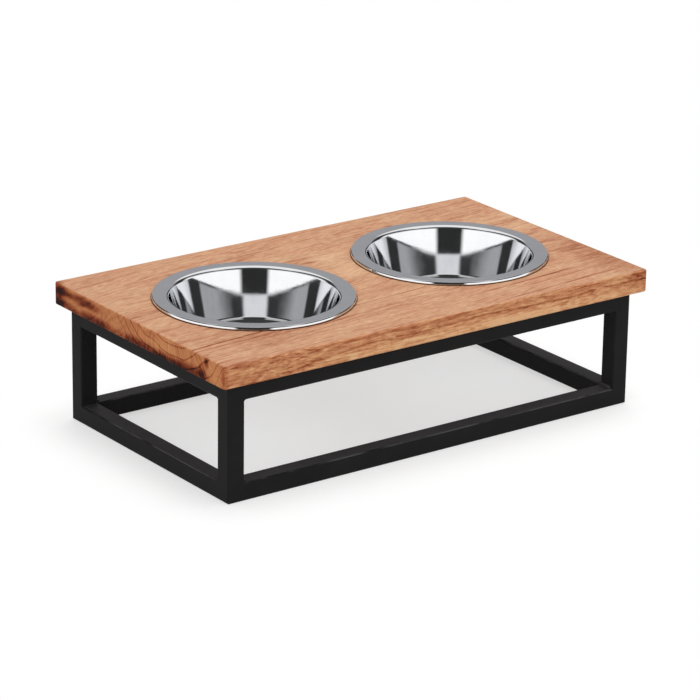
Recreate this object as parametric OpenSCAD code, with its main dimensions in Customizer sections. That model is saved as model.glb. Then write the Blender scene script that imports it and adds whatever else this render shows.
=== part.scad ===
// Raised dog feeder: a wooden board on a welded frame of square tube, with two steel bowls that lift out.
// X runs along the board, -Y is the front and Z is up. The origin is on the floor, under the board's centre.

/* [Board] */
// Length of the board
board_l = 435; // [410:1:520]
// Depth of the board, front to back
board_w = 252; // [220:1:320]
// Thickness of the board
board_t = 20; // [16:1:30]
// Rounding along the board's top and bottom edges
board_edge_r = 1.5; // [1:0.5:5]
// Rounding of the board's four upright corners
board_corner_r = 2; // [1:0.5:8]

/* [Frame] */
// Height of the frame, from the floor to the underside of the board
frame_h = 102; // [80:1:250]
// Distance from the board's ends in to the frame
frame_inset_x = 10; // [0:1:20]
// Distance from the board's long sides in to the frame
frame_inset_y = 9; // [0:1:30]
// Side of the square tube
tube_w = 16; // [12:1:25]
// Wall of the tube
tube_wall = 1.2; // [0.8:0.1:1.6]
// Outside rounding of the tube's edges
tube_r = 1.8; // [1.8:0.1:3]

/* [Welds] */
// Leg of the fillet welds in the frame's inner corners
weld_leg = 4; // [2:0.5:6]
// Thickness of a weld at its toe
weld_toe = 0.3; // [0.2:0.1:0.6]
// Depth of the weld that fills the outer groove between a post and the loops
weld_fill = 1.5; // [1.2:0.1:1.7]

/* [Bowls] */
// Distance from the board's ends in to the bowls' rolled edges
bowl_margin = 30.5; // [20:0.5:36]
// Outside diameter of a bowl, over its rolled edge
bowl_d = 170; // [160:1:180]
// Diameter of the mouth, where the flange turns down into the bowl
bowl_mouth_d = 148; // [120:1:156]
// Depth of a bowl, from the top of its flange to its floor
bowl_depth = 50; // [38:1:80]
// Slope of the bowl's wall, in degrees from upright
bowl_taper = 14; // [4:1:18]
// Thickness of the bowl's sheet steel
sheet_t = 0.7; // [0.5:0.1:0.8]
// Height of the flange's top above the board
rim_h = 2.9; // [2.4:0.1:5]
// Bend radius at the top and at the foot of the rolled edge
bead_r = 0.95; // [0.9:0.05:1.2]
// Lean of the rolled edge's outer side, in degrees from upright
bead_lean = 14; // [0:1:25]
// Depth of the flat on which the rolled edge sits
rim_flat = 0.1; // [0.05:0.01:0.2]
// Bend radius from the flange into the wall
shoulder_r = 3.5; // [1.5:0.1:5]
// Bend radius from the wall into the floor
floor_bend_r = 12; // [6:1:16]
// Width of the flat ring between the floor's bend and the raised disc
floor_ring_w = 1.5; // [1:0.5:10]
// Height of the raised disc pressed into the floor
disc_h = 1.2; // [0.6:0.1:2]
// Bend radius of the step round the raised disc
step_r = 2; // [1.5:0.1:4]
// Gap between a bowl's mouth and its hole in the board
hole_gap = 1; // [0.5:0.1:4]

/* [Screws] */
// Distance from the ends of a long rail in to its screws
screw_inset = 57.5; // [30:0.5:87.5]
// Diameter of a screw
screw_d = 4; // [3:0.5:5]
// How far a screw goes up into the board
screw_bite = 13; // [8:1:14]
// Length of a screw's point
screw_tip = 4; // [2:0.5:6]
// Diameter of a screw's head
screw_head_d = 8; // [7:0.5:10]
// Height of a screw's head
screw_head_h = 2.6; // [2.2:0.1:4]
// Height of the dome on a screw's head
screw_dome = 1.4; // [0.6:0.1:1.6]
// Length of each slot in a screw's cross recess
recess_l = 4.2; // [3:0.1:5]
// Width of each slot in a screw's cross recess
recess_w = 0.9; // [0.6:0.1:1.4]
// Depth of a screw's cross recess
recess_depth = 1.4; // [0.8:0.1:1.8]
// Gap round a screw in the holes through the rail
screw_gap = 0.25; // [0.1:0.05:0.5]
// Gap round a screw in the board
pilot_gap = 0.05; // [0.02:0.01:0.1]

/* [Hidden] */
$fn = 96;
overcut = 1;
wood = [0.81, 0.57, 0.42];
black_coat = [0.13, 0.13, 0.13];
steel = [0.78, 0.79, 0.80];
zinc = [0.70, 0.70, 0.68];
LEFT = -1;
RIGHT = 1;
FRONT = -1;
BACK = 1;

// The frame, the bowls and the screws, in plan and in height
frame_l = board_l - 2 * frame_inset_x;
frame_w = board_w - 2 * frame_inset_y;
post_x = (frame_l - tube_w) / 2;
post_y = (frame_w - tube_w) / 2;
post_h = frame_h - 2 * tube_w;
top_loop_z = frame_h - tube_w;
board_top = frame_h + board_t;
bowl_x = board_l / 2 - bowl_margin - bowl_d / 2;
screw_x = frame_l / 2 - screw_inset;

// The bowl's section: radius across, height above the board's top up
mouth_r = bowl_mouth_d / 2;
hole_r = mouth_r + hole_gap;
bead_foot = [bowl_d / 2 - bead_r, bead_r - rim_flat];
bead_top_z = rim_h - bead_r;
bead_top = [bead_foot.x - (bead_top_z - bead_foot.y) * tan(bead_lean), bead_top_z];
bead_end = -160;
floor_z = rim_h - bowl_depth;
step_angle = acos(1 - disc_h / (2 * step_r));
step_w = 2 * step_r * sin(step_angle);
wall_top = [mouth_r - shoulder_r * cos(bowl_taper), rim_h - shoulder_r + shoulder_r * sin(bowl_taper)];
wall_drop = wall_top.y - floor_z - floor_bend_r;
floor_r = wall_top.x - (wall_drop * sin(bowl_taper) + floor_bend_r) / cos(bowl_taper);
disc_r = floor_r - floor_ring_w - step_w;

// The screw's dome is a cap of this sphere
dome_r = (pow(screw_head_d / 2, 2) + pow(screw_dome, 2)) / (2 * screw_dome);

// Points along an arc round c, from angle a to angle b
function arc(c, r, a, b, n = 8) =
    [for (i = [0 : n]) c + r * [cos(a + (b - a) * i / n), sin(a + (b - a) * i / n)]];

// A list in the opposite order
function reversed(v) = [for (i = [len(v) - 1 : -1 : 0]) v[i]];

// One side of the bowl's sheet, from the centre of the floor out to the rolled edge, a depth d under the top side
function bowl_side(d) = concat(
    [[0, floor_z + disc_h - d]],
    arc([disc_r, floor_z + disc_h - step_r], step_r - d, 90, 90 - step_angle, 4),
    arc([disc_r + step_w, floor_z + step_r], step_r + d, 270 - step_angle, 270, 4),
    arc([floor_r, floor_z + floor_bend_r], floor_bend_r + d, 270, 360 - bowl_taper, 12),
    arc([mouth_r, rim_h - shoulder_r], shoulder_r - d, 180 - bowl_taper, 90),
    arc(bead_top, bead_r - d, 90, bead_lean),
    [for (p = arc(bead_foot, bead_r - d, bead_lean, bead_end, 16)) [p.x, max(0, p.y)]]
);

// A rectangle with round corners, centred
module rounded_rectangle(w, h, r) {
    square([w - 2 * r, h], center = true);
    square([w, h - 2 * r], center = true);
    for (x = [-1, 1], y = [-1, 1])
        translate([x * (w / 2 - r), y * (h / 2 - r)])
            circle(r);
}

// The tube's section, solid or hollow, centred
module tube_section(solid = false) {
    difference() {
        rounded_rectangle(tube_w, tube_w, tube_r);
        if (!solid)
            rounded_rectangle(tube_w - 2 * tube_wall, tube_w - 2 * tube_wall, tube_r - tube_wall);
    }
}

// Plan of a rail that is mitred at both ends, with its outer side on y = 0
module mitre_plan(l) {
    intersection() {
        polygon([[-l / 2, 0], [l / 2, 0], [l / 2 - tube_w, tube_w], [tube_w - l / 2, tube_w]]);
        translate([0, 2 * tube_w])
            rounded_rectangle(l, 4 * tube_w, tube_r);
    }
}

// A mitred rail along X, with its outer side on y = 0 and its underside on z = 0
module mitred_rail(l, solid = false) {
    intersection() {
        translate([0, tube_w / 2, tube_w / 2])
            rotate([90, 0, 90])
                linear_extrude(l, center = true)
                    tube_section(solid);
        linear_extrude(tube_w)
            mitre_plan(l);
    }
}

// A front or back rail at height z
module long_rail(side, z, solid = false) {
    rotate(side == FRONT ? 0 : 180)
        translate([0, -frame_w / 2, z])
            mitred_rail(frame_l, solid);
}

// A left or right rail at height z
module short_rail(side, z, solid = false) {
    rotate(90 * side)
        translate([0, -frame_l / 2, z])
            mitred_rail(frame_w, solid);
}

// Places its children at both screws of a long rail
module at_screws(side) {
    for (x = [LEFT, RIGHT])
        translate([x * screw_x, side * post_y, 0])
            children();
}

module top_long_rail(side) {
    color(black_coat)
        difference() {
            long_rail(side, top_loop_z);
            at_screws(side)
                translate([0, 0, top_loop_z - overcut])
                    cylinder(h = tube_w + 2 * overcut, d = screw_d + 2 * screw_gap);
        }
}

module top_short_rail(side) {
    color(black_coat)
        short_rail(side, top_loop_z);
}

module bottom_long_rail(side) {
    color(black_coat)
        long_rail(side, 0);
}

module bottom_short_rail(side) {
    color(black_coat)
        short_rail(side, 0);
}

module post(x, y) {
    color(black_coat)
        translate([x * post_x, y * post_y, tube_w])
            linear_extrude(post_h)
                tube_section();
}

// Hollow-faced fillet weld of width w, in the corner between a wall on x = 0 and a floor on z = 0
module fillet_weld(w) {
    translate([0, w / 2, 0])
        rotate([90, 0, 0])
            linear_extrude(w)
                difference() {
                    square(weld_leg);
                    translate([weld_leg, weld_leg])
                        circle(weld_leg - weld_toe);
                }
}

// Weld metal, ground flush, between the square end of a post and the lower loop's round outer edges
module groove_weld() {
    difference() {
        translate([-post_x, -post_y, tube_w - weld_fill])
            linear_extrude(weld_fill)
                difference() {
                    rounded_rectangle(tube_w, tube_w, tube_r);
                    translate([weld_fill - tube_w / 2, weld_fill - tube_w / 2])
                        square(tube_w);
                }
        long_rail(FRONT, 0, solid = true);
        short_rail(LEFT, 0, solid = true);
    }
}

// The welds at the foot of the front left post
module foot_welds() {
    flat_w = tube_w - 2 * tube_r;
    translate([tube_w - frame_l / 2, -post_y, tube_w])
        fillet_weld(flat_w);
    translate([-post_x, tube_w - frame_w / 2, tube_w])
        rotate(90)
            fillet_weld(flat_w);
    groove_weld();
}

// The welds at the foot and the head of one post
module welds(x, y) {
    color(black_coat)
        mirror([x == LEFT ? 0 : 1, 0, 0])
            mirror([0, y == FRONT ? 0 : 1, 0]) {
                foot_welds();
                translate([0, 0, frame_h])
                    mirror([0, 0, 1])
                        foot_welds();
            }
}

// A wood screw, driven up from below the rail
module screw(x, y) {
    color(zinc)
        translate([x * screw_x, y * post_y, top_loop_z]) {
            difference() {
                intersection() {
                    translate([0, 0, -screw_head_h])
                        cylinder(h = screw_head_h, d = screw_head_d);
                    translate([0, 0, dome_r - screw_head_h])
                        sphere(dome_r);
                }
                for (turn = [0, 90])
                    rotate(turn)
                        translate([-recess_l / 2, -recess_w / 2, -screw_head_h - overcut])
                            cube([recess_l, recess_w, recess_depth + overcut]);
            }
            cylinder(h = tube_w + screw_bite - screw_tip, d = screw_d);
            translate([0, 0, tube_w + screw_bite - screw_tip])
                cylinder(h = screw_tip, d1 = screw_d, d2 = 0);
        }
}

// A slab with all its edges rounded, its underside on z = 0
module rounded_slab() {
    intersection() {
        linear_extrude(board_t)
            rounded_rectangle(board_l, board_w, board_corner_r);
        translate([0, 0, board_t / 2])
            rotate([90, 0, 0])
                linear_extrude(board_w, center = true)
                    rounded_rectangle(board_l, board_t, board_edge_r);
        translate([0, 0, board_t / 2])
            rotate([90, 0, 90])
                linear_extrude(board_l, center = true)
                    rounded_rectangle(board_w, board_t, board_edge_r);
    }
}

module board() {
    color(wood)
        difference() {
            translate([0, 0, frame_h])
                rounded_slab();
            for (side = [LEFT, RIGHT])
                translate([side * bowl_x, 0, frame_h - overcut])
                    cylinder(h = board_t + 2 * overcut, r = hole_r);
            for (side = [FRONT, BACK])
                at_screws(side)
                    translate([0, 0, frame_h - overcut])
                        cylinder(h = screw_bite + overcut, d = screw_d + 2 * pilot_gap);
        }
}

module bowl(side) {
    color(steel)
        translate([side * bowl_x, 0, board_top])
            rotate_extrude()
                polygon(concat(bowl_side(0), reversed(bowl_side(sheet_t))));
}

board();
top_long_rail(FRONT);  // top_rail_front
top_long_rail(BACK);  // top_rail_back
top_short_rail(LEFT);  // top_rail_left
top_short_rail(RIGHT);  // top_rail_right
bottom_long_rail(FRONT);  // bottom_rail_front
bottom_long_rail(BACK);  // bottom_rail_back
bottom_short_rail(LEFT);  // bottom_rail_left
bottom_short_rail(RIGHT);  // bottom_rail_right
post(LEFT, FRONT);  // post_front_left
post(RIGHT, FRONT);  // post_front_right
post(LEFT, BACK);  // post_back_left
post(RIGHT, BACK);  // post_back_right
welds(LEFT, FRONT);  // welds_front_left
welds(RIGHT, FRONT);  // welds_front_right
welds(LEFT, BACK);  // welds_back_left
welds(RIGHT, BACK);  // welds_back_right
screw(LEFT, FRONT);  // screw_front_left
screw(RIGHT, FRONT);  // screw_front_right
screw(LEFT, BACK);  // screw_back_left
screw(RIGHT, BACK);  // screw_back_right
bowl(LEFT);  // bowl_left
bowl(RIGHT);  // bowl_right
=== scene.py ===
import math

import bmesh
import bpy
from mathutils import Matrix, Vector


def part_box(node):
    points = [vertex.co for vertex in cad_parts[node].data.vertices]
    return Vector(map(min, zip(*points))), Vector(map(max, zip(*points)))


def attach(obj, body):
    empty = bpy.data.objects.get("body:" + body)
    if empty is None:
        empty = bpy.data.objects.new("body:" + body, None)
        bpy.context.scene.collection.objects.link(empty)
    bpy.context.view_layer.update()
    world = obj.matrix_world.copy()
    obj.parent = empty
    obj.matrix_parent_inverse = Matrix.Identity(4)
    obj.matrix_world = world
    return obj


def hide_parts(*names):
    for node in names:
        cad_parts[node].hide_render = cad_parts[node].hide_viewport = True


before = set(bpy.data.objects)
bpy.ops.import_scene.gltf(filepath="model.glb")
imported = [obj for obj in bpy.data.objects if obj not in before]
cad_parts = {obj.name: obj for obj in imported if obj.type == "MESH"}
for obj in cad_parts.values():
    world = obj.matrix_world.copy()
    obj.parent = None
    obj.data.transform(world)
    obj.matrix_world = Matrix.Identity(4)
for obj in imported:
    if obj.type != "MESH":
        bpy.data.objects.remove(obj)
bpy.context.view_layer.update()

# Raised dog feeder: a hardwood board on a black welded frame, with two steel bowls that lift out.
# X runs along the board, -Y is the front and Z is up.
# The origin is on the floor, under the board's centre.
MM = 0.001
LEFT, RIGHT, FRONT, BACK = -1, 1, -1, 1
SIDES = {"left": LEFT, "right": RIGHT}
DEPTHS = {"front": FRONT, "back": BACK}
CORNERS = [(depth, side) for depth in DEPTHS for side in SIDES]

# Places from the frame, and the round of the tube's edges
board_low, board_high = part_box("board")
post_low, post_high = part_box("post_back_right")
bowl_low, bowl_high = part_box("bowl_left")
screw_low, screw_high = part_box("screw_back_right")
BOARD_TOP = board_high.z
FRAME_TOP = board_low.z
TUBE_W = post_high.x - post_low.x
TUBE_R = 1.8 * MM
POST_X = (post_low.x + post_high.x) / 2
POST_Y = (post_low.y + post_high.y) / 2
BOWL_X = -(bowl_low.x + bowl_high.x) / 2
SCREW_X = (screw_low.x + screw_high.x) / 2
SCREW_Y = (screw_low.y + screw_high.y) / 2
SCREW_TOP = screw_high.z

# Camera, as the photograph was taken
PHOTO_SIDE_PX = 700
FOCAL_PX = 3486.8
SENSOR_MM = 36.0
CLIP_END = 100.0
CAMERA_AZIMUTH = math.radians(-36.50)
CAMERA_ELEVATION = math.radians(19.74)
CAMERA_ROLL = math.radians(0.892)
CAMERA_DISTANCE = 2.960
CAMERA_TARGET = Vector((-0.0026, 0.0, 0.0555))

# Noise: its middle, and the range that it mostly keeps to
MIDDLE = 0.5
NOISE_RANGE = (0.3, 0.7)


def srgb(red, green, blue):
    """A colour given as 0 to 255 on screen, as the linear values that shaders take."""
    def linear(value):
        value /= 255
        return value / 12.92 if value <= 0.04045 else ((value + 0.055) / 1.055) ** 2.4
    return (linear(red), linear(green), linear(blue), 1.0)


def grey(level):
    """A linear grey."""
    return (level, level, level, 1)


def even(value):
    """The same value along X, Y and Z."""
    return (value, value, value)


class Tree:
    """A shader tree under construction: each call adds nodes and gives back an output."""

    MIX_A, MIX_B, MIX_RESULT = 6, 7, 2

    def __init__(self, owner):
        owner.use_nodes = True
        self.tree = owner.node_tree
        self.tree.nodes.clear()

    def add(self, kind, inputs=None, **settings):
        node = self.tree.nodes.new("ShaderNode" + kind)
        for name, value in settings.items():
            setattr(node, name, value)
        for key, value in (inputs or {}).items():
            self.feed(node.inputs[key], value)
        return node

    def feed(self, socket, value):
        if isinstance(value, bpy.types.NodeSocket):
            self.tree.links.new(value, socket)
        else:
            socket.default_value = value

    def math(self, operation, a, b=0.0):
        return self.add("Math", {0: a, 1: b}, operation=operation).outputs[0]

    def plus(self, a, b):
        return self.math("ADD", a, b)

    def minus(self, a, b):
        return self.math("SUBTRACT", a, b)

    def times(self, a, b):
        return self.math("MULTIPLY", a, b)

    def over(self, a, b):
        return self.math("DIVIDE", a, b)

    def absolute(self, a):
        return self.math("ABSOLUTE", a)

    def apart(self, a, b):
        """How far apart two values are."""
        return self.absolute(self.minus(a, b))

    def vector(self, operation, a, b):
        return self.add("VectorMath", {0: a, 1: b}, operation=operation).outputs[0]

    def length(self, a):
        return self.add("VectorMath", {0: a}, operation="LENGTH").outputs["Value"]

    def join(self, x, y, z):
        return self.add("CombineXYZ", {0: x, 1: y, 2: z}).outputs[0]

    def split(self, a):
        return self.add("SeparateXYZ", {0: a}).outputs

    def noise(self, place, lengths, detail=2.0, roughness=0.5, output="Fac"):
        """Noise of a given length along X, Y and Z, in the units of place."""
        scaled = self.vector("MULTIPLY", place, tuple(1 / length for length in lengths))
        sockets = {"Vector": scaled, "Scale": 1.0, "Detail": detail, "Roughness": roughness}
        return self.add("TexNoise", sockets).outputs[output]

    def remap(self, value, low, high, to_low=0.0, to_high=1.0):
        sockets = {
            "Value": value,
            "From Min": low,
            "From Max": high,
            "To Min": to_low,
            "To Max": to_high,
        }
        return self.add("MapRange", sockets, interpolation_type="SMOOTHSTEP").outputs[0]

    def fall(self, value, low, high, top=1.0):
        """The top where a value is under low, falling to 0 where it is over high."""
        return self.remap(value, low, high, top, 0.0)

    def between(self, value, rise, fall):
        """1 between two ranges, and 0 beyond them."""
        return self.times(self.remap(value, *rise), self.fall(value, *fall))

    def ramp(self, value, stops):
        node = self.add("ValToRGB", {"Fac": value})
        elements = node.color_ramp.elements
        while len(elements) < len(stops):
            elements.new(0.5)
        for element, (place, colour) in zip(elements, stops):
            element.position = place
            element.color = colour
        return node.outputs["Color"]

    def shade(self, noise, low_colour, high_colour):
        """A colour that goes with noise from one to another."""
        return self.ramp(noise, list(zip(NOISE_RANGE, (low_colour, high_colour))))

    def mix(self, factor, a, b, blend="MIX"):
        sockets = {0: factor, self.MIX_A: a, self.MIX_B: b}
        node = self.add("Mix", sockets, data_type="RGBA", blend_type=blend)
        return node.outputs[self.MIX_RESULT]

    def tint(self, factor, colour, tint):
        """A colour multiplied by a tint, as far as factor says."""
        return self.mix(factor, colour, self.mix(1.0, colour, tint, "MULTIPLY"))

    def bump(self, height, distance, strength):
        sockets = {"Height": height, "Distance": distance, "Strength": strength}
        return self.add("Bump", sockets).outputs[0]

    def millimetres(self):
        """The place on the object, in millimetres of the shared frame."""
        return self.vector("MULTIPLY", self.add("TexCoord").outputs["Object"], even(1 / MM))

    def normal(self):
        """The X, Y and Z of the surface's normal."""
        return self.split(self.add("TexCoord").outputs["Normal"])

    def surface(self, sockets):
        shader = self.add("BsdfPrincipled", sockets)
        self.add("OutputMaterial", {"Surface": shader.outputs[0]})


def bowl_radius(tree, place):
    """The distance in mm from the axis of the bowl on the same side."""
    parts = tree.split(place)
    across = tree.minus(tree.absolute(parts["X"]), BOWL_X / MM)
    return tree.length(tree.join(across, parts["Y"], 0.0))


# Wood: places and lengths in mm, and tone from 0 for the palest to 1 for the darkest
END_X, FRONT_Y, TOP_Z = board_low.x / MM, board_low.y / MM, board_high.z / MM
WOOD_STOPS = [
    (0.00, srgb(244, 218, 180)),
    (0.20, srgb(227, 186, 146)),
    (0.40, srgb(203, 152, 119)),
    (0.60, srgb(172, 112, 80)),
    (0.78, srgb(128, 66, 40)),
    (0.90, srgb(84, 34, 18)),
    (1.00, srgb(44, 15, 8)),
]
BASE_TONE = 0.39
EDGE_TONE = -0.085
END_TONE = 0.065
EDGE_TINT = (1.0, 0.77, 0.62, 1)
END_TINT = (1.0, 0.90, 0.76, 1)
PINK_TINT = (1.0, 0.95, 0.95, 1)
PINK_PATCHES = (0.35, 0.65)
# How squarely a face has to look along an axis to count as an end or as the top
FACING = (0.5, 0.95)
WOOD_ROUGHNESS = (0.45, 0.60)
WOOD_SPECULAR = 0.05
WOOD_BUMP = (0.12 * MM, 0.35)
FIBRE_H = 0.5

# Rings round the pith, with a half width in shares of their pitch
PITH_Y, PITH_Z = -49.0, 183.0
RING_PITCH = 8.5
RING_START = 69.75
RING_HALF_W = (0.02, 0.12)
RING_FADE_R, RING_FADE = (90, 110), 0.2
# Rays: the radius at which they are measured round the pith, and lengths out from it and round it
ROUND_PITH_R = 100.0
RAY_MM, RAY_DETAIL = (30, 2.4, 1), 3.0

# How far the grain drifts across the board for each mm along it
GRAIN_SLOPE = 0.09
# Slow pushes off the straight: lengths, reach along X, Y and Z, and detail
SWAY = ((150, 42, 42), (0, 24, 14), 1.5)
WOBBLE = ((26, 7, 7), (3, 7, 4), 3.0)
LINE_SWAY = ((120, 40, 40), (0, 5, 0), 1.0)
PUSH_ROUGHNESS = 0.55

# Layers of noise: length along the grain and across it, detail and roughness
WOOD_NOISE = {
    "patches": (34, 16, 2.0, 0.55),
    "clouds": (70, 24, 3.0, 0.55),
    "streaks": (110, 2.4, 4.0, 0.60),
    "grain": (44, 1.5, 3.0, 0.60),
    "speckle": (9, 1.8, 3.0, 0.60),
    "fibres": (8, 0.7, 3.0, 0.55),
    "pores": (5, 0.45, 1.0, 0.55),
    "hairlines": (240, 9, 1.0, 0.55),
}
# Layers that don't follow the grain's slope and sway
SQUARE_LAYERS = ("patches", "clouds")
SAW_MM = (2.2, 2.2, 60)
PORE_RANGE = (0.60, 0.74)
HAIRLINE_HALF_W = (0.012, 0.05)
HAIRLINE_PATCHES = (0.36, 0.52)
# Layers that are mostly 0, and the middle that they are weighed about
SPARSE_LAYERS = ("pores", "hairlines", "late_wood")
SPARSE_MIDDLE = 0.1
# How much each layer darkens: everywhere, on the broad faces, on the long edges and on the ends
ALL_WEIGHTS = {"clouds": 0.22, "late_wood": 0.06}
FACE_WEIGHTS = {
    "streaks": 0.12,
    "grain": 0.22,
    "speckle": 0.38,
    "fibres": 0.50,
    "pores": 0.12,
    "hairlines": 0.12,
}
EDGE_WEIGHTS = {"grain": 0.55, "streaks": 0.40, "speckle": 0.45, "saw_marks": 0.12}
END_WEIGHTS = {"rays": 0.50, "late_wood": 0.20, "saw_marks": 0.20}
# How much of the broad faces' layers shows on the ends
FACE_ON_END = 0.35

# Figure in the wood: centre, reach along X, Y and Z, and how much the middle darkens
FIGURE_EDGE = (0.2, 1.0)
WOOD_FIGURES = [
    ((END_X, 80, 116), (4, 36, 6), 0.46),
    ((END_X, 110, 116.5), (4, 18, 6), 0.36),
    ((END_X, 122, 110), (8, 17, 20), 0.48),
    ((END_X, 108, 104), (8, 24, 8), 0.40),
    ((END_X, 62, 103), (8, 46, 9), 0.54),
    ((END_X, -5, 103), (8, 50, 9), 0.50),
    ((END_X, -47, 103), (8, 30, 9), 0.50),
    ((END_X, -80, 104), (8, 34, 9), 0.46),
    ((END_X, -95, 108), (8, 8, 9), 0.38),
    ((END_X, -101, 117.5), (8, 5, 7), 0.42),
    ((END_X, -22, 118.5), (8, 11, 4), 0.16),
    ((END_X, -38, 114), (10, 36, 12), -0.08),
    ((END_X, -113, 112), (10, 22, 16), -0.06),
    ((END_X + 1, FRONT_Y + 1, 110), (5, 5, 16), 0.22),
    ((-201, FRONT_Y, 118.5), (14, 7, 4), 0.24),
    ((-58, FRONT_Y, 118.6), (60, 6, 3.4), 0.16),
    ((105, FRONT_Y, 118.2), (22, 6, 2.6), 0.14),
    ((148, FRONT_Y, 117.8), (32, 6, 3.2), 0.16),
    ((204, FRONT_Y, 118.7), (20, 6, 3.4), 0.14),
    ((212, FRONT_Y, 110), (26, 14, 18), 0.14),
    ((-152, -86, TOP_Z), (40, 30, 10), 0.09),
    ((213, -70, TOP_Z), (40, 90, 10), 0.14),
    ((8, 25, TOP_Z), (34, 60, 10), -0.08),
    ((205, 40, TOP_Z), (60, 50, 10), -0.06),
]

# Long dark lines in the grain: place across it at the left end, start, end, and how much it darkens
GRAIN_LINES = [
    (-80.5, -217, 20, 0.30),
    (-98.0, -90, 60, 0.16),
    (-107.0, -200, -60, 0.14),
    (-121.0, 60, 150, 0.24),
    (-131.0, 110, 217, 0.18),
    (-146.0, 90, 190, 0.20),
    (30.0, -150, -20, 0.12),
    (62.0, 60, 190, 0.14),
]
LINE_HALF_W = (0.3, 1.6)
LINE_RISE, LINE_FADE = 20, 50
LINE_PATCHES, LINE_FAINT = (0.35, 0.60), 0.45

# Front edge: pale sapwood under a dark seam that climbs from the left, and a second, thinner seam
SEAM_X, SEAM_Z = (-195, -55), (102.0, 113.2)
SEAM_WAVE_L, SEAM_WAVE_H = 26.0, 0.8
SEAM_LIFT = 0.8
SEAM_HALF_W = (0.1, 1.7)
SEAM_TONE = 0.20
SEAM_PATCHES = (0.2, 0.5)
SECOND_X, SECOND_Z = (-175, -105), (111.0, 120.0)
SECOND_HALF_W = (0.1, 1.2)
SECOND_TONE = 0.14
SECOND_END_X = (-110, -95)
SAPWOOD_RISE_X, SAPWOOD_LEFT = (-140, 70), 0.35
SAPWOOD_FALL_X, SAPWOOD_RIGHT = (110, 190), 0.4
SAPWOOD_H = (-6.0, 0.0)
SAPWOOD_TONE = -0.26
FRONT_FADE_Y = (FRONT_Y + 4, FRONT_Y + 22)

# Painted shade on the board in a ring where a bowl's rim sits, for the contact shadow there: radii,
# height and strength
SEAT_INNER_R = (82.5, 84.0)
SEAT_OUTER_R = (85.2, 86.1)
SEAT_Z = (TOP_Z - 1, TOP_Z - 0.5)
SEAT_SHARE = 0.8
PAINTED_SHADE_COLOUR = srgb(44, 38, 34)


def drift(tree, place, lengths, reach, detail):
    """A place pushed slowly off the straight, by up to half of reach each way."""
    push = tree.noise(place, lengths, detail, PUSH_ROUGHNESS, "Color")
    push = tree.vector("SUBTRACT", push, even(MIDDLE))
    return tree.vector("ADD", place, tree.vector("MULTIPLY", push, reach))


def along_grain(tree, place):
    """A place as its X, its Y at the left end of the same line of grain, and its Z."""
    x, y, z = tree.split(place)
    slope = tree.times(tree.minus(x, END_X), GRAIN_SLOPE)
    return x, tree.minus(y, slope), z


def rings_and_rays(tree, y, z):
    """The late wood of the rings, and the rays that cross them."""
    from_pith_y = tree.minus(y, PITH_Y)
    from_pith_z = tree.minus(z, PITH_Z)
    radius = tree.length(tree.join(0.0, from_pith_y, from_pith_z))
    turn = tree.times(tree.math("ARCTAN2", from_pith_y, from_pith_z), ROUND_PITH_R)
    ring = tree.math("FRACT", tree.over(tree.minus(radius, RING_START), RING_PITCH))
    late_wood = tree.fall(tree.apart(ring, MIDDLE), *RING_HALF_W)
    late_wood = tree.times(late_wood, tree.remap(radius, *RING_FADE_R, 1.0, RING_FADE))
    rays = tree.noise(tree.join(radius, turn, 0.0), RAY_MM, RAY_DETAIL)
    return late_wood, rays


def wood_layers(tree, place):
    """The layers that make up the wood, by name."""
    x, y, z = along_grain(tree, drift(tree, place, *SWAY))
    straight = tree.join(x, y, z)
    layers = {}
    for name, (along, across, detail, roughness) in WOOD_NOISE.items():
        where = place if name in SQUARE_LAYERS else straight
        layers[name] = tree.noise(where, (along, across, across), detail, roughness)
    layers["saw_marks"] = tree.noise(place, SAW_MM)
    layers["late_wood"], layers["rays"] = rings_and_rays(tree, y, z)
    layers["pores"] = tree.remap(layers["pores"], *PORE_RANGE)
    hairlines = tree.fall(tree.apart(layers["hairlines"], MIDDLE), *HAIRLINE_HALF_W)
    shown = tree.remap(layers["patches"], *HAIRLINE_PATCHES)
    layers["hairlines"] = tree.times(hairlines, shown)
    return layers


def weigh(tree, tone, layers, weights):
    """Adds layers to a tone, each about its own middle and by its own weight."""
    for name, weight in weights.items():
        middle = SPARSE_MIDDLE if name in SPARSE_LAYERS else MIDDLE
        part = tree.times(tree.minus(layers[name], middle), weight)
        tone = tree.plus(part, tone)
    return tone


def grain_lines(tree, place, patches):
    """The sum of the long lines, fainter in patches."""
    x, across = along_grain(tree, drift(tree, place, *LINE_SWAY))[:2]
    total = 0.0
    for middle, start, end, weight in GRAIN_LINES:
        line = tree.fall(tree.apart(across, middle), *LINE_HALF_W, weight)
        ends = tree.between(x, (start - LINE_RISE, start), (end, end + LINE_FADE))
        total = tree.plus(tree.times(line, ends), total)
    return tree.times(total, tree.remap(patches, *LINE_PATCHES, LINE_FAINT, 1.0))


def wood_figures(tree, place):
    """The sum of the figures, each a soft-edged lump."""
    total = 0.0
    for centre, reach, weight in WOOD_FIGURES:
        away = tree.vector("DIVIDE", tree.vector("SUBTRACT", place, centre), reach)
        lump = tree.fall(tree.length(away), *FIGURE_EDGE, weight)
        total = tree.plus(lump, total)
    return total


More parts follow.
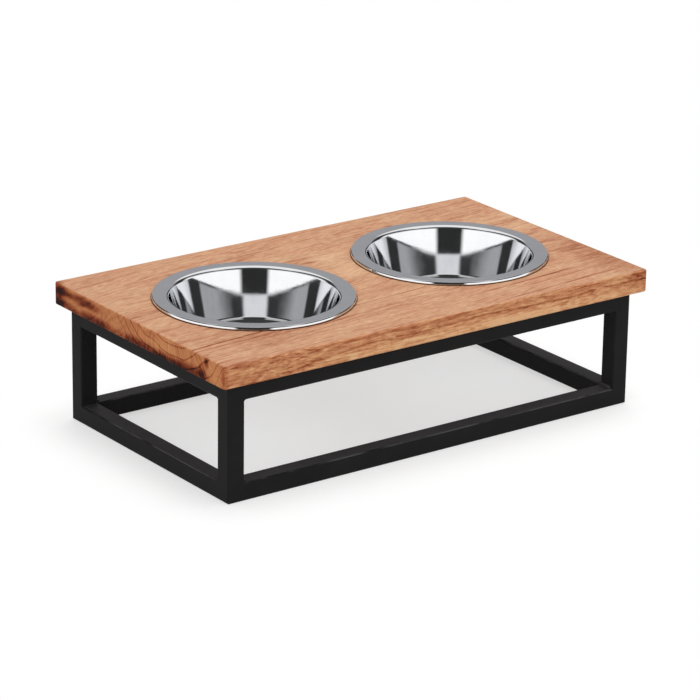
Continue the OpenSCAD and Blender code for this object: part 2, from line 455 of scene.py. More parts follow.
def front_edge(tree, place, patches):
    """What the sapwood and the two seams add to the tone."""
    x, y, z = tree.split(place)
    wave = tree.times(tree.math("SINE", tree.over(x, SEAM_WAVE_L)), SEAM_WAVE_H)
    above = tree.minus(z, tree.plus(tree.remap(x, *SEAM_X, *SEAM_Z), wave))
    from_left = tree.remap(x, *SAPWOOD_RISE_X, SAPWOOD_LEFT, 1.0)
    to_right = tree.remap(x, *SAPWOOD_FALL_X, 1.0, SAPWOOD_RIGHT)
    sapwood = tree.remap(above, *SAPWOOD_H, SAPWOOD_TONE, 0.0)
    sapwood = tree.times(sapwood, tree.times(from_left, to_right))
    seam = tree.fall(tree.apart(above, SEAM_LIFT), *SEAM_HALF_W, SEAM_TONE)
    seam = tree.times(seam, tree.remap(patches, *SEAM_PATCHES))
    from_second = tree.apart(z, tree.remap(x, *SECOND_X, *SECOND_Z))
    second = tree.fall(from_second, *SECOND_HALF_W, SECOND_TONE)
    second = tree.times(second, tree.fall(x, *SECOND_END_X))
    total = tree.plus(tree.plus(sapwood, seam), second)
    return tree.times(total, tree.fall(y, *FRONT_FADE_Y))


def wood_tone(tree, place, layers, edge, end_grain):
    """How dark the wood is, from all its layers, lines and figures."""
    wobbled = drift(tree, place, *WOBBLE)
    patches = layers["patches"]
    tone = tree.plus(wood_figures(tree, wobbled), front_edge(tree, wobbled, patches))
    tone = weigh(tree, tree.plus(tone, BASE_TONE), layers, ALL_WEIGHTS)
    face = weigh(tree, grain_lines(tree, place, patches), layers, FACE_WEIGHTS)
    long_edge = weigh(tree, 0.0, layers, EDGE_WEIGHTS)
    end = weigh(tree, 0.0, layers, END_WEIGHTS)
    for part, share in (
        (face, tree.remap(end_grain, 0.0, 1.0, 1.0, FACE_ON_END)),
        (long_edge, tree.math("MAXIMUM", tree.minus(edge, end_grain), 0.0)),
        (end, end_grain),
        (edge, EDGE_TONE),
        (end_grain, END_TONE),
    ):
        tone = tree.plus(tree.times(part, share), tone)
    return tone


def seat_shade(tree, place):
    """Where painted shade darkens the top of the board, in a ring round each bowl's rim, for the
    contact shadow there.
    """
    ring = tree.between(bowl_radius(tree, place), SEAT_INNER_R, SEAT_OUTER_R)
    return tree.times(ring, tree.remap(tree.split(place)["Z"], *SEAT_Z, 0.0, SEAT_SHARE))


def wood_material():
    """Oiled hardwood, solid through the board."""
    material = bpy.data.materials.new("oiled_hardwood")
    tree = Tree(material)
    place = tree.millimetres()
    normal = tree.normal()
    end_grain = tree.remap(tree.absolute(normal["X"]), *FACING)
    edge = tree.fall(tree.absolute(normal["Z"]), *FACING)
    layers = wood_layers(tree, place)
    pink = tree.remap(layers["patches"], *PINK_PATCHES)
    colour = tree.ramp(wood_tone(tree, place, layers, edge, end_grain), WOOD_STOPS)
    for part, tint in ((edge, EDGE_TINT), (end_grain, END_TINT), (pink, PINK_TINT)):
        colour = tree.tint(part, colour, tint)
    height = tree.minus(tree.times(layers["fibres"], FIBRE_H), layers["pores"])
    tree.surface({
        # Painted shade: the board goes dark in a ring round each bowl's rim, for the contact shadow
        # there
        "Base Color": tree.mix(seat_shade(tree, place), colour, PAINTED_SHADE_COLOUR),
        "Roughness": tree.remap(layers["streaks"], *NOISE_RANGE, *WOOD_ROUGHNESS),
        "Specular IOR Level": WOOD_SPECULAR,
        "Normal": tree.bump(height, *WOOD_BUMP),
    })
    return material


# Coat: its own colours, painted sheen on the upper faces, and painted highlights on the round edges
# beside them
COAT_DARK = srgb(34, 33, 34)
COAT_PALE = srgb(40, 39, 39)
TOP_SHEEN_COLOUR = srgb(68, 66, 68)
EDGE_GLINT_COLOUR = srgb(84, 84, 86)
TOP_SHEEN_FACING = (0.80, 0.98)
EDGE_GLINT_FROM, EDGE_GLINT_TO = (0.35, 0.55), (0.78, 0.94)
EDGE_GLINT_PATCHES = (0.35, 0.6)
PEEL_MM = even(0.9)
GRIT_MM = even(0.25)
COAT_CLOUD_MM = (40, 40, 25)
GRIT_H = 0.35
COAT_ROUGHNESS = (0.40, 0.52)
COAT_SPECULAR = 0.04
COAT_BUMP = (0.06 * MM, 0.25)


def coat_material():
    """Black powder coat: a fine orange peel, with painted sheen on the upper faces and painted
    highlights on their edges.
    """
    material = bpy.data.materials.new("black_powder_coat")
    tree = Tree(material)
    place = tree.millimetres()
    peel = tree.noise(place, PEEL_MM, detail=2.0, roughness=0.55)
    grit = tree.noise(place, GRIT_MM, detail=1.0)
    cloud = tree.noise(place, COAT_CLOUD_MM, detail=4.0, roughness=0.6)
    facing_up = tree.normal()["Z"]
    colour = tree.shade(cloud, COAT_DARK, COAT_PALE)
    # Painted sheen: faces that look up are paler, for the light they catch from above
    colour = tree.mix(tree.remap(facing_up, *TOP_SHEEN_FACING), colour, TOP_SHEEN_COLOUR)
    # Painted highlight: the round edges between the sides and the upper faces are paler, for the
    # light they catch
    edge_glint = tree.between(facing_up, EDGE_GLINT_FROM, EDGE_GLINT_TO)
    edge_glint = tree.times(edge_glint, tree.remap(cloud, *EDGE_GLINT_PATCHES))
    height = tree.plus(peel, tree.times(grit, GRIT_H))
    tree.surface({
        "Base Color": tree.mix(edge_glint, colour, EDGE_GLINT_COLOUR),
        "Roughness": tree.remap(cloud, *NOISE_RANGE, *COAT_ROUGHNESS),
        "Specular IOR Level": COAT_SPECULAR,
        "Normal": tree.bump(height, *COAT_BUMP),
    })
    return material


# Steel: lengths in mm, and those of the turned lines are out from the bowl's axis and up
STEEL_DULL = srgb(226, 227, 230)
STEEL_BRIGHT = srgb(234, 235, 237)
TURNED_MM = (0.35, 0.35, 1)
SMEAR_MM = even(18)
SWELL_MM = even(22)
SCRATCH_MM = (14, 0.3, 14)
SCRATCH_RANGE = (0.68, 0.74)
SMEAR_RANGE = (0.35, 0.7)
STEEL_ROUGHNESS = (0.03, 0.07)
SCRATCH_ROUGHNESS = 0.06
SWELL_H = 20.0
STEEL_BUMP = (0.003 * MM, 1.0)
# Painted shade at the foot of a bowl's rolled edge, for the dark gap and shadow under it: heights
# above the board where it ends, and radii where it starts
FOOT_SHADE_H = (0.45, 0.75)
FOOT_SHADE_R = (80.0, 82.0)


def steel_material():
    """Polished sheet steel: faint rings from spinning, and a line of painted shade at the rolled
    edge's foot.
    """
    material = bpy.data.materials.new("polished_steel")
    tree = Tree(material)
    place = tree.millimetres()
    z = tree.split(place)["Z"]
    radius = bowl_radius(tree, place)
    turned = tree.noise(tree.join(radius, z, 0.0), TURNED_MM, detail=3.0, roughness=0.7)
    smear = tree.noise(place, SMEAR_MM, detail=4.0, roughness=0.6)
    swell = tree.noise(place, SWELL_MM, detail=1.0)
    scratch = tree.noise(place, SCRATCH_MM, detail=2.0, roughness=0.6)
    scratch = tree.remap(scratch, *SCRATCH_RANGE)
    roughness = tree.remap(smear, *SMEAR_RANGE, *STEEL_ROUGHNESS)
    colour = tree.shade(smear, STEEL_DULL, STEEL_BRIGHT)
    above_board = tree.minus(z, BOARD_TOP / MM)
    # Painted shade: the steel goes dark at the foot of the rolled edge, for the dark gap and shadow
    # under it
    foot_shade = tree.times(tree.fall(above_board, *FOOT_SHADE_H), tree.remap(radius, *FOOT_SHADE_R))
    height = tree.plus(turned, tree.times(swell, SWELL_H))
    tree.surface({
        "Base Color": tree.mix(foot_shade, colour, PAINTED_SHADE_COLOUR),
        "Metallic": 1.0,
        "Roughness": tree.plus(roughness, tree.times(scratch, SCRATCH_ROUGHNESS)),
        "Normal": tree.bump(height, *STEEL_BUMP),
    })
    return material


# Zinc
ZINC_DARK = srgb(176, 174, 166)
ZINC_PALE = srgb(205, 203, 196)
ZINC_CLOUD_MM = even(1.6)
ZINC_ROUGHNESS = (0.26, 0.42)
ZINC_BUMP = (0.02 * MM, 0.2)


def zinc_material():
    """Bright zinc plate on the screws."""
    material = bpy.data.materials.new("zinc_plate")
    tree = Tree(material)
    cloud = tree.noise(tree.millimetres(), ZINC_CLOUD_MM, detail=4.0, roughness=0.65)
    tree.surface({
        "Base Color": tree.shade(cloud, ZINC_DARK, ZINC_PALE),
        "Metallic": 1.0,
        "Roughness": tree.remap(cloud, *NOISE_RANGE, *ZINC_ROUGHNESS),
        "Normal": tree.bump(cloud, *ZINC_BUMP),
    })
    return material


def mesh_object(name, mesh):
    """A new object from a bmesh."""
    data = bpy.data.meshes.new(name)
    bmesh.ops.recalc_face_normals(mesh, faces=mesh.faces)
    mesh.to_mesh(data)
    mesh.free()
    piece = bpy.data.objects.new(name, data)
    bpy.context.scene.collection.objects.link(piece)
    return piece


def loft(mesh, rings):
    """Skins rings of points, each a closed loop, and caps both ends."""
    rows = [[mesh.verts.new(point) for point in ring] for ring in rings]
    count = len(rows[0])
    for low, high in zip(rows, rows[1:]):
        for i in range(count):
            j = (i + 1) % count
            mesh.faces.new((low[i], low[j], high[j], high[i]))
    mesh.faces.new(rows[0])
    mesh.faces.new(rows[-1])


def level_ring(centre, height, radii):
    """Points round an upright axis through centre, evenly spaced, each at its own radius."""
    points = []
    for i, radius in enumerate(radii):
        angle = 2 * math.pi * i / len(radii)
        points.append(centre + Vector((radius * math.cos(angle), radius * math.sin(angle), height)))
    return points


def lathe(mesh, profile, centre, steps):
    """Turns a profile of radius and height, clear of the axis, into a closed solid."""
    loft(mesh, [level_ring(centre, height, [radius] * steps) for radius, height in profile])


def arc(centre, radius, start, end, steps):
    """Points along an arc, with its angles in degrees."""
    angles = [math.radians(start + (end - start) * i / steps) for i in range(steps + 1)]
    return [(centre[0] + radius * math.cos(a), centre[1] + radius * math.sin(a)) for a in angles]


def carve(piece, cutter):
    """Cuts one object out of another, and removes the cutter."""
    cut = piece.modifiers.new("cut", "BOOLEAN")
    cut.operation = "DIFFERENCE"
    cut.solver = "EXACT"
    cut.object = cutter
    depsgraph = bpy.context.evaluated_depsgraph_get()
    carved = bpy.data.meshes.new_from_object(piece.evaluated_get(depsgraph))
    piece.modifiers.clear()
    piece.data = carved
    bpy.data.objects.remove(cutter)


def smooth(piece, sharp):
    """Smooth shading, with edges sharp past an angle in degrees, and flat faces that stay flat."""
    piece.data.shade_smooth()
    piece.data.set_sharp_from_angle(angle=math.radians(sharp))
    weighted = piece.modifiers.new("weighted_normals", "WEIGHTED_NORMAL")
    weighted.keep_sharp = True


def paint(piece, material):
    """Gives a piece one material in place of those it has."""
    piece.data.materials.clear()
    piece.data.materials.append(material)


def dress(piece, material, slot, body, *nodes):
    """Gives a piece its material, hangs it on the body that it rides on, and hides the nodes that it
    stands for.
    """
    paint(piece, material)
    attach(piece, body)
    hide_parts(*nodes)


# Board: the lips of its holes stop a few degrees short of the flat faces, for a clean cut
BOARD_CORNER_R, BOARD_CORNER_STEPS = 2.0 * MM, 8
BOARD_EDGE_R, BOARD_EDGE_STEPS = 1.5 * MM, 6
BOARD_SHARP = 30
ROUND_PROFILE = 0.5
HOLE_R, HOLE_STEPS = 75.0 * MM, 192
LIP_R, LIP_STEPS = 1.0 * MM, 5
LIP_SHORT = 5
PILOT_R, PILOT_STEPS = 2.05 * MM, 24
OVERCUT = 2.0 * MM


def is_upright(edge):
    return abs(edge.verts[0].co.z - edge.verts[1].co.z) > MM


def is_rim(edge):
    """An edge between the top or the underside and a side."""
    levels = {round(abs(face.normal.z)) for face in edge.link_faces}
    return levels == {0, 1}


def round_edges(mesh, chosen, radius, steps):
    """Rounds the edges that pass a test."""
    mesh.normal_update()
    edges = [edge for edge in mesh.edges if chosen(edge)]
    bmesh.ops.bevel(
        mesh, geom=edges, offset=radius, segments=steps, profile=ROUND_PROFILE, affect="EDGES",
    )


def hole_cutter():
    """The holes for the bowls, with eased edges, and the pilot holes for the screws."""
    thick = (board_high - board_low).z
    lip_middle = HOLE_R + LIP_R
    low_lip = arc((lip_middle, LIP_R), LIP_R, 270 - LIP_SHORT, 180, LIP_STEPS)
    high_lip = arc((lip_middle, thick - LIP_R), LIP_R, 180, 90 + LIP_SHORT, LIP_STEPS)
    below = (low_lip[0][0], -OVERCUT)
    above = (high_lip[-1][0], thick + OVERCUT)
    hole = [below, *low_lip, *high_lip, above]
    pilot = [(PILOT_R, -OVERCUT), (PILOT_R, SCREW_TOP - FRAME_TOP)]
    mesh = bmesh.new()
    for side in SIDES.values():
        lathe(mesh, hole, Vector((side * BOWL_X, 0, FRAME_TOP)), HOLE_STEPS)
        for depth in DEPTHS.values():
            lathe(mesh, pilot, Vector((side * SCREW_X, depth * SCREW_Y, FRAME_TOP)), PILOT_STEPS)
    return mesh_object("hole_cutter", mesh)


def board_piece():
    """The board, with round corners and edges, and its holes."""
    mesh = bmesh.new()
    bmesh.ops.create_cube(mesh, size=1.0)
    bmesh.ops.scale(mesh, vec=board_high - board_low, verts=mesh.verts)
    bmesh.ops.translate(mesh, vec=(board_low + board_high) / 2, verts=mesh.verts)
    round_edges(mesh, is_upright, BOARD_CORNER_R, BOARD_CORNER_STEPS)
    round_edges(mesh, is_rim, BOARD_EDGE_R, BOARD_EDGE_STEPS)
    board = mesh_object("board_oiled", mesh)
    carve(board, hole_cutter())
    smooth(board, BOARD_SHARP)
    return board


# Bowls: angles in degrees
MOUTH_R = 74.0 * MM
BOWL_TAPER = 14.0
BOWL_STEPS = 256
BOWL_SHARP = 40
SHEET = 0.7 * MM
BEAD_R = 0.95 * MM
BEAD_TOP_STEPS, BEAD_STEPS = 12, 20
BEAD_LEAN = 14.0
BEAD_END = -160.0
BREAK_R = 0.3 * MM
BREAK_W = 0.65 * MM
BREAK_LEAN = 40.0
BREAK_TOP_STEPS, BREAK_SIDE_STEPS = 6, 4
RIM_FLAT = 0.1 * MM
SHOULDER_R, SHOULDER_STEPS = 3.5 * MM, 12
FLOOR_BEND_R, FLOOR_BEND_STEPS = 12.0 * MM, 24
FLOOR_RING_W = 1.5 * MM
DISC_H = 1.2 * MM
STEP_R, STEP_STEPS = 2.0 * MM, 8


def bowl_profile(outer_r, rim_h, depth):
    """The inside and the outside of a bowl's sheet, as radius and height above the board."""
    foot = (outer_r - BEAD_R, BEAD_R - RIM_FLAT)
    top_h = rim_h - BEAD_R
    top = (foot[0] - (top_h - foot[1]) * math.tan(math.radians(BEAD_LEAN)), top_h)
    floor = rim_h - depth
    slope = math.radians(BOWL_TAPER)
    step = math.acos(1 - DISC_H / (2 * STEP_R))
    step_w = 2 * STEP_R * math.sin(step)
    step_deg = math.degrees(step)
    wall_x = MOUTH_R - SHOULDER_R * math.cos(slope)
    wall_drop = rim_h - SHOULDER_R + SHOULDER_R * math.sin(slope) - floor - FLOOR_BEND_R
    floor_r = wall_x - (wall_drop * math.sin(slope) + FLOOR_BEND_R) / math.cos(slope)
    disc_r = floor_r - FLOOR_RING_W - step_w
    disc_step = (disc_r, floor + DISC_H - STEP_R)
    floor_step = (disc_r + step_w, floor + STEP_R)
    bend = (floor_r, floor + FLOOR_BEND_R)
    shoulder = (MOUTH_R, rim_h - SHOULDER_R)

    def broken_edge():
        """From the flange over a narrow flat to the bead's side."""
        lean, flat = math.radians(BEAD_LEAN), math.radians(BREAK_LEAN)
        inset = BEAD_R - BREAK_R
        climb = rim_h - BREAK_R - foot[1] - inset * math.sin(lean) - BREAK_W * math.cos(flat)
        low_r = foot[0] + inset * math.cos(lean) - climb * math.tan(lean)
        low = (low_r, rim_h - BREAK_R - BREAK_W * math.cos(flat))
        high = (low_r - BREAK_W * math.sin(flat), rim_h - BREAK_R)
        points = arc(high, BREAK_R, 90, BREAK_LEAN, BREAK_TOP_STEPS)
        return points + arc(low, BREAK_R, BREAK_LEAN, BEAD_LEAN, BREAK_SIDE_STEPS)

    def side(d):
        """The line at a depth into the sheet, from the disc in the floor out to the bead's end."""
        points = arc(disc_step, STEP_R - d, 90, 90 - step_deg, STEP_STEPS)
        points += arc(floor_step, STEP_R + d, 270 - step_deg, 270, STEP_STEPS)[1:]
        points += arc(bend, FLOOR_BEND_R + d, 270, 360 - BOWL_TAPER, FLOOR_BEND_STEPS)
        points += arc(shoulder, SHOULDER_R - d, 180 - BOWL_TAPER, 90, SHOULDER_STEPS)
        points += arc(top, BEAD_R - d, 90, BEAD_LEAN, BEAD_TOP_STEPS) if d else broken_edge()
        points += arc(foot, BEAD_R - d, BEAD_LEAN, BEAD_END, BEAD_STEPS)
        return [(r, max(0.0, h)) if r > MOUTH_R else (r, h) for r, h in points]

    return side(0.0), side(SHEET)


def bowl_piece(name, node):
    """A bowl turned from its section, with the disc in its floor closed on both sides."""
    low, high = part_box(node)
    centre = Vector(((low.x + high.x) / 2, (low.y + high.y) / 2, BOARD_TOP))
    rim_h = high.z - BOARD_TOP
    depth = high.z - low.z - SHEET
    inside, outside = bowl_profile((high.x - low.x) / 2, rim_h, depth)
    mesh = bmesh.new()
    lathe(mesh, inside + outside[::-1], centre, BOWL_STEPS)
    discs = [face for face in mesh.faces if len(face.verts) == BOWL_STEPS]
    bmesh.ops.poke(mesh, faces=discs)
    bowl = mesh_object(name, mesh)
    smooth(bowl, BOWL_SHARP)
    return bowl


# Welds: the end share is the size that a bead runs out to
WELD_LEG, WELD_STEPS = 4.0 * MM, 60
WELD_FACE_STEPS = 12
WELD_TOE = 0.3 * MM
WELD_END_SHARE, WELD_END_POWER = 0.55, 10
WELD_SHARP = 50
RIPPLE = 0.22 * MM
RIPPLE_PITCH = 1.5 * MM
RIPPLE_BOW = 0.45
FILL_DEPTH = 1.7 * MM
FILL_STEPS = 8


def bead(mesh, to_place):
    """A rippled hollow fillet weld across a tube's flat; to_place takes run, across and up."""
    width = TUBE_W - 2 * TUBE_R
    rings = []
    for i in range(WELD_STEPS + 1):
        run = width * (i / WELD_STEPS - 0.5)
        full = 1 - abs(2 * i / WELD_STEPS - 1) ** WELD_END_POWER
        leg = WELD_LEG * (WELD_END_SHARE + (1 - WELD_END_SHARE) * full)
        ring = [(0.0, 0.0), (0.0, leg)]
        for j in range(WELD_FACE_STEPS + 1):
            turn = math.pi + math.pi / 2 * j / WELD_FACE_STEPS
            bow = (2 * j / WELD_FACE_STEPS - 1) ** 2
            wave = abs(math.sin(math.pi * (run / RIPPLE_PITCH + RIPPLE_BOW * bow)))
            hollow = leg - WELD_TOE - RIPPLE * (wave - 0.5) * (1 - bow)
            ring.append((leg + hollow * math.cos(turn), leg + hollow * math.sin(turn)))
        ring.append((leg, 0.0))
        rings.append([to_place(run, across, up) for across, up in ring])
    loft(mesh, rings)


def groove_fill(mesh, to_place):
    """The weld, ground flush, between a post's end and the round outer edges of the loop there."""
    half = TUBE_W / 2
    path = [((-half, half), (1, 0)), ((-half, TUBE_R - half), (1, 0))]
    for x, y in arc((0, 0), 1, 180, 270, FILL_STEPS)[1:-1]:
        path.append(((TUBE_R - half + TUBE_R * x, TUBE_R - half + TUBE_R * y), (-x, -y)))
    path += [((TUBE_R - half, -half), (0, 1)), ((half, -half), (0, 1))]
    reach = math.degrees(math.acos((TUBE_R - FILL_DEPTH) / TUBE_R))
    section = [(0.0, 0.0), (FILL_DEPTH, 0.0)]
    section += arc((TUBE_R, -TUBE_R), TUBE_R, 90 + reach, 180 - reach, FILL_STEPS)
    section.append((0.0, -FILL_DEPTH))
    rings = []
    for (px, py), (nx, ny) in path:
        rings.append([to_place(px + d * nx, py + d * ny, h) for d, h in section])
    loft(mesh, rings)


def weld_piece(depth, side):
    """All the welds at the foot and the head of one post."""
    sx, sy = SIDES[side], DEPTHS[depth]
    post = Vector((sx * POST_X, sy * POST_Y, 0))
    half = TUBE_W / 2
    mesh = bmesh.new()
    for level, up in ((TUBE_W, 1), (FRAME_TOP - TUBE_W, -1)):
        bead(mesh, lambda run, a, h: post + Vector((-sx * (half + a), run, level + up * h)))
        bead(mesh, lambda run, a, h: post + Vector((run, -sy * (half + a), level + up * h)))
        groove_fill(mesh, lambda x, y, h: post + Vector((-sx * x, -sy * y, level + up * h)))
    piece = mesh_object(f"weld_beads_{depth}_{side}", mesh)
    smooth(piece, WELD_SHARP)
    return piece


# Screws: the ridge is a share of the pitch each way, and the tip a share of the full radius
SCREW_R, SCREW_STEPS = 2.0 * MM, 32
SCREW_CORE_R = 1.45 * MM
SCREW_PITCH = 1.8 * MM
SCREW_SHARP = 35
ROWS_PER_TURN = 8
RIDGE_SHARE = 0.25
TIP_L, TIP_SHARE = 4.0 * MM, 0.05
HEAD_DOME_H, HEAD_DOME_STEPS = 1.4 * MM, 10
# The dome starts just off its middle, in degrees, so that its first ring has a size
HEAD_DOME_START = 270.6
HEAD_SIDE_SHARE = 0.95
HEAD_EASE = 0.1 * MM
RECESS_L = 4.2 * MM
RECESS_FOOT_L = 2.3 * MM
RECESS_W = 0.9 * MM
RECESS_DEPTH = 1.4 * MM


def screw_head(head_r, head_h):
    """The profile of a pan head, from its middle out and up to the rail."""
    ball = (head_r ** 2 + HEAD_DOME_H ** 2) / (2 * HEAD_DOME_H)
    half_angle = math.degrees(math.asin(head_r / ball))
    dome = arc((0.0, ball), ball, HEAD_DOME_START, 270 + half_angle, HEAD_DOME_STEPS)
    side = (head_r, head_h * HEAD_SIDE_SHARE)
    return dome + [side, (head_r - HEAD_EASE, head_h), (SCREW_R, head_h)]


def shank_radius(height, turn, length):
    """The radius of the thread and the tip, at a height and a share of a full turn."""
    phase = (height / SCREW_PITCH - turn) % 1.0
    ridge = max(0.0, 1 - abs(phase - 0.5) / RIDGE_SHARE)
    taper = max(min(1.0, (length - height) / TIP_L), TIP_SHARE)
    return (SCREW_CORE_R + (SCREW_R - SCREW_CORE_R) * ridge) * taper


def cross(reach, half, height):
    """The outline of a cross, arm by arm."""
    arm = [(reach, -half), (reach, half), (half, half)]
    points = []
    for quarter in range(4):
        turn = Matrix.Rotation(quarter * math.pi / 2, 3, "Z")
        points += [turn @ Vector((x, y, height)) for x, y in arm]
    return points


def recess_cutter(axis):
    """The cross recess in a head, which narrows to its foot."""
    mouth, foot = RECESS_L / 2, RECESS_FOOT_L / 2
    rings = []
    for height, reach in ((-MM, mouth), (0.0, mouth), (RECESS_DEPTH, foot)):
        rings.append([axis + point for point in cross(reach, RECESS_W / 2, height)])
    mesh = bmesh.new()
    loft(mesh, rings)
    return mesh_object("recess_cutter", mesh)


def screw_piece(depth, side):
    """A wood screw, head down, with a thread and a cross recess."""
    node = f"screw_{depth}_{side}"
    low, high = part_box(node)
    axis = Vector(((low.x + high.x) / 2, (low.y + high.y) / 2, low.z))
    head_r = (high.x - low.x) / 2
    head_h = FRAME_TOP - TUBE_W - low.z
    length = high.z - low.z
    rings = [level_ring(axis, h, [r] * SCREW_STEPS) for r, h in screw_head(head_r, head_h)]
    rows = round((length - head_h) / (SCREW_PITCH / ROWS_PER_TURN))
    for row in range(1, rows):
        height = head_h + (length - head_h) * row / rows
        radii = [shank_radius(height, i / SCREW_STEPS, length) for i in range(SCREW_STEPS)]
        rings.append(level_ring(axis, height, radii))
    mesh = bmesh.new()
    loft(mesh, rings)
    screw = mesh_object(f"{node}_threaded", mesh)
    carve(screw, recess_cutter(axis))
    smooth(screw, SCREW_SHARP)
    return screw


# Studio: metres, and brightness that is 1 for white
AMBIENT = 0.60
WHITE = grey(1.0)
FLOOR_SIDE = 16.0
FLOOR_COLOUR = grey(0.56)
FLOOR_LIFT = 0.54
FLOOR_FADE = (0.0, 0.07)
# Lamps: azimuth from the camera's and elevation in degrees, distance, width, height and brightness
LAMPS = {
    "overhead": (150, 78, 2.4, 2.0, 1.6, 2.3),
    "front_left": (-42, 24, 2.6, 1.0, 1.3, 1.3),
    "front_right": (42, 24, 2.6, 1.0, 1.3, 2.1),
}
DOME_R = 3.4
DOME_STEPS, DOME_ROWS = 96, 48
DOME_DARK = grey(0.05)
PANEL = grey(1.20)
FAR_SIDE = (0.37, 0.37, 0.385, 1)
# Brightness low round the dome, from the camera's side at 0 round either way to the far side at 1
DOME_BELT = [
    (0.00, grey(0.03)),
    (0.09, grey(0.03)),
    (0.12, PANEL),
    (0.57, PANEL),
    (0.64, grey(0.04)),
    (0.74, grey(0.04)),
    (0.80, FAR_SIDE),
    (1.00, FAR_SIDE),
]
# Darker parts of the belt, and where the ceiling starts, with heights as shares of the radius
SKIRTING_TURN, SKIRTING_Z = (0.74, 0.80), (0.16, 0.22)
DIM_TURN, DIM_Z, DIM_SHARE = (0.55, 0.70), (0.26, 0.42), 0.60
CEILING_Z = (0.52, 0.62)
# The lit part of the ceiling, as slopes from straight up: front to back, and to either side
CEILING_BACK, CEILING_ASIDE = (-0.50, -0.30), (0.6, 0.85)


def seen_directly(tree):
    """1 for rays from the camera, from a mirror or through glass, and 0 for the rest."""
    path = tree.add("LightPath").outputs
    seen = tree.math("MAXIMUM", path["Is Camera Ray"], path["Is Glossy Ray"])
    return tree.math("MAXIMUM", seen, path["Is Transmission Ray"])


def make_floor():
    """A pale floor, lifted to white where it is seen, and plain white away from the object."""
    mesh = bmesh.new()
    bmesh.ops.create_grid(mesh, x_segments=1, y_segments=1, size=FLOOR_SIDE / 2)
    floor = mesh_object("floor", mesh)
    material = bpy.data.materials.new("pale_floor")
    tree = Tree(material)
    diffuse = tree.add("BsdfDiffuse", {"Color": FLOOR_COLOUR})
    place = tree.vector("ABSOLUTE", tree.add("TexCoord").outputs["Object"], even(0))
    outside = tree.vector("MAXIMUM", tree.vector("SUBTRACT", place, board_high), even(0))
    seen = seen_directly(tree)
    lift = tree.add("Emission", {"Strength": tree.times(seen, FLOOR_LIFT)})
    near = tree.add("AddShader", {0: diffuse.outputs[0], 1: lift.outputs[0]})
    white = tree.add("Emission", {"Strength": 1.0})
    fade = tree.times(seen, tree.remap(tree.length(outside), *FLOOR_FADE))
    shown = tree.add("MixShader", {0: fade, 1: near.outputs[0], 2: white.outputs[0]})
    tree.add("OutputMaterial", {"Surface": shown.outputs[0]})
    floor.data.materials.append(material)


def make_world():
    """Plain white where it is seen, and dimmer as light."""
    world = bpy.data.worlds.new("studio")
    bpy.context.scene.world = world
    tree = Tree(world)
    strength = tree.remap(seen_directly(tree), 0.0, 1.0, AMBIENT, 1.0)
    light = tree.add("Background", {"Color": WHITE, "Strength": strength})
    tree.add("OutputWorld", {"Surface": light.outputs[0]})


def dome_colour(tree):
    """A lit ceiling over a belt of white panels, dark gaps and a grey far side."""
    place = tree.vector("DIVIDE", tree.add("TexCoord").outputs["Object"], even(DOME_R))
    x, y, z = tree.split(place)
    turn = tree.math("ARCTAN2", tree.absolute(x), tree.times(y, -1.0))
    turn = tree.over(turn, math.pi)
    skirting = tree.times(tree.remap(turn, *SKIRTING_TURN), tree.fall(z, *SKIRTING_Z))
    dim = tree.times(tree.remap(z, *DIM_Z), tree.fall(turn, *DIM_TURN, DIM_SHARE))
    belt = tree.ramp(turn, DOME_BELT)
    for part in (skirting, dim):
        belt = tree.mix(part, belt, DOME_DARK)
    lit = tree.remap(tree.over(y, z), *CEILING_BACK)
    lit = tree.times(lit, tree.fall(tree.absolute(tree.over(x, z)), *CEILING_ASIDE))
    ceiling = tree.mix(lit, DOME_DARK, WHITE)
    return tree.mix(tree.remap(z, *CEILING_Z), belt, ceiling)


def make_dome():
    """A dome that only shiny surfaces see."""
    mesh = bmesh.new()
    bmesh.ops.create_uvsphere(mesh, u_segments=DOME_STEPS, v_segments=DOME_ROWS, radius=DOME_R)
    low = [vert for vert in mesh.verts if vert.co.z < -MM]
    bmesh.ops.delete(mesh, geom=low, context="VERTS")
    dome = mesh_object("studio_dome", mesh)
    dome.rotation_euler.z = CAMERA_AZIMUTH
    material = bpy.data.materials.new("studio_dome")
    tree = Tree(material)
    glow = tree.add("Emission", {"Color": dome_colour(tree), "Strength": 1.0})
    tree.add("OutputMaterial", {"Surface": glow.outputs[0]})
    dome.data.materials.append(material)
    dome.visible_camera = False
    dome.visible_diffuse = False
    dome.visible_shadow = False


def towards(azimuth, elevation):
    """The direction from the object, where azimuth 0 is the front and 90 degrees is the right."""
    level = math.cos(elevation)
    return Vector((math.sin(azimuth) * level, -math.cos(azimuth) * level, math.sin(elevation)))


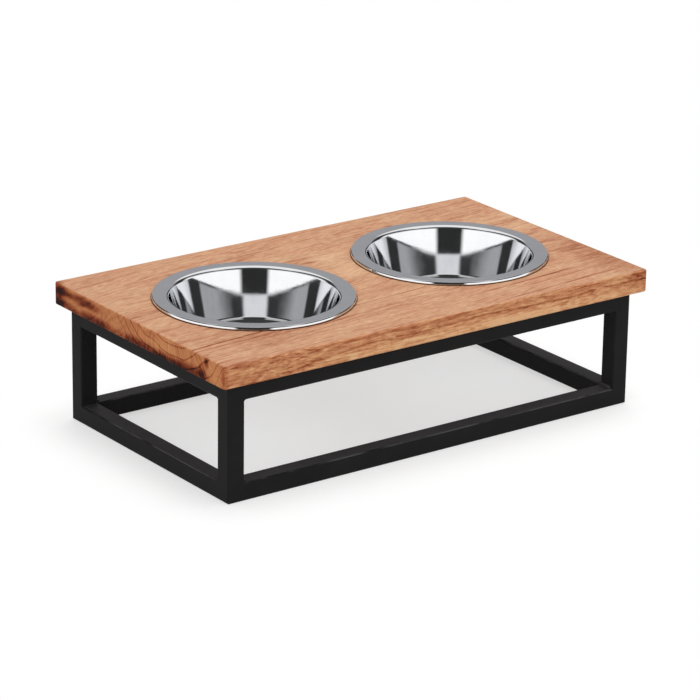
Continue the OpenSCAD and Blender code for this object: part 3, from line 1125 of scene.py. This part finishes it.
def softbox(name, azimuth, elevation, distance, width, height, level):
    """A soft lamp that faces the object, with a face as bright as level."""
    data = bpy.data.lights.new(name, "AREA")
    data.shape = "RECTANGLE"
    data.size = width
    data.size_y = height
    data.energy = level * math.pi * width * height
    lamp = bpy.data.objects.new(name, data)
    out = towards(CAMERA_AZIMUTH + math.radians(azimuth), math.radians(elevation))
    lamp.location = out * distance
    lamp.rotation_mode = "QUATERNION"
    lamp.rotation_quaternion = (-out).to_track_quat("-Z", "Y")
    lamp.visible_glossy = False
    bpy.context.scene.collection.objects.link(lamp)


def make_studio():
    make_floor()
    make_world()
    make_dome()
    for name, lamp in LAMPS.items():
        softbox(name, *lamp)


def make_camera():
    data = bpy.data.cameras.new("camera")
    data.sensor_width = SENSOR_MM
    data.lens = FOCAL_PX / PHOTO_SIDE_PX * SENSOR_MM
    data.clip_end = CLIP_END
    camera = bpy.data.objects.new("camera", data)
    back = towards(CAMERA_AZIMUTH, CAMERA_ELEVATION)
    level_right = Vector((math.cos(CAMERA_AZIMUTH), math.sin(CAMERA_AZIMUTH), 0))
    level_up = back.cross(level_right)
    right = level_right * math.cos(CAMERA_ROLL) + level_up * math.sin(CAMERA_ROLL)
    up = level_up * math.cos(CAMERA_ROLL) - level_right * math.sin(CAMERA_ROLL)
    pose = Matrix((right, up, back)).transposed().to_4x4()
    pose.translation = CAMERA_TARGET + back * CAMERA_DISTANCE
    camera.matrix_world = pose
    bpy.context.scene.collection.objects.link(camera)
    bpy.context.scene.camera = camera


def make_feeder():
    """Coats the tubes, and puts dressed pieces in place of the other nodes."""
    wood = wood_material()
    coat = coat_material()
    steel = steel_material()
    zinc = zinc_material()
    for name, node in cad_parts.items():
        if "rail" in name or "post" in name:
            paint(node, coat)
    dress(board_piece(), wood, "board_wood", "stand", "board")
    for side in SIDES:
        node = f"bowl_{side}"
        dress(bowl_piece(f"{node}_polished", node), steel, "bowl_steel", f"{side}_bowl", node)
    for depth, side in CORNERS:
        dress(weld_piece(depth, side), coat, "frame_coat", "stand", f"welds_{depth}_{side}")
        dress(screw_piece(depth, side), zinc, "screw_zinc", "stand", f"screw_{depth}_{side}")


bpy.context.scene.view_settings.view_transform = "Standard"
make_camera()
make_feeder()
make_studio()
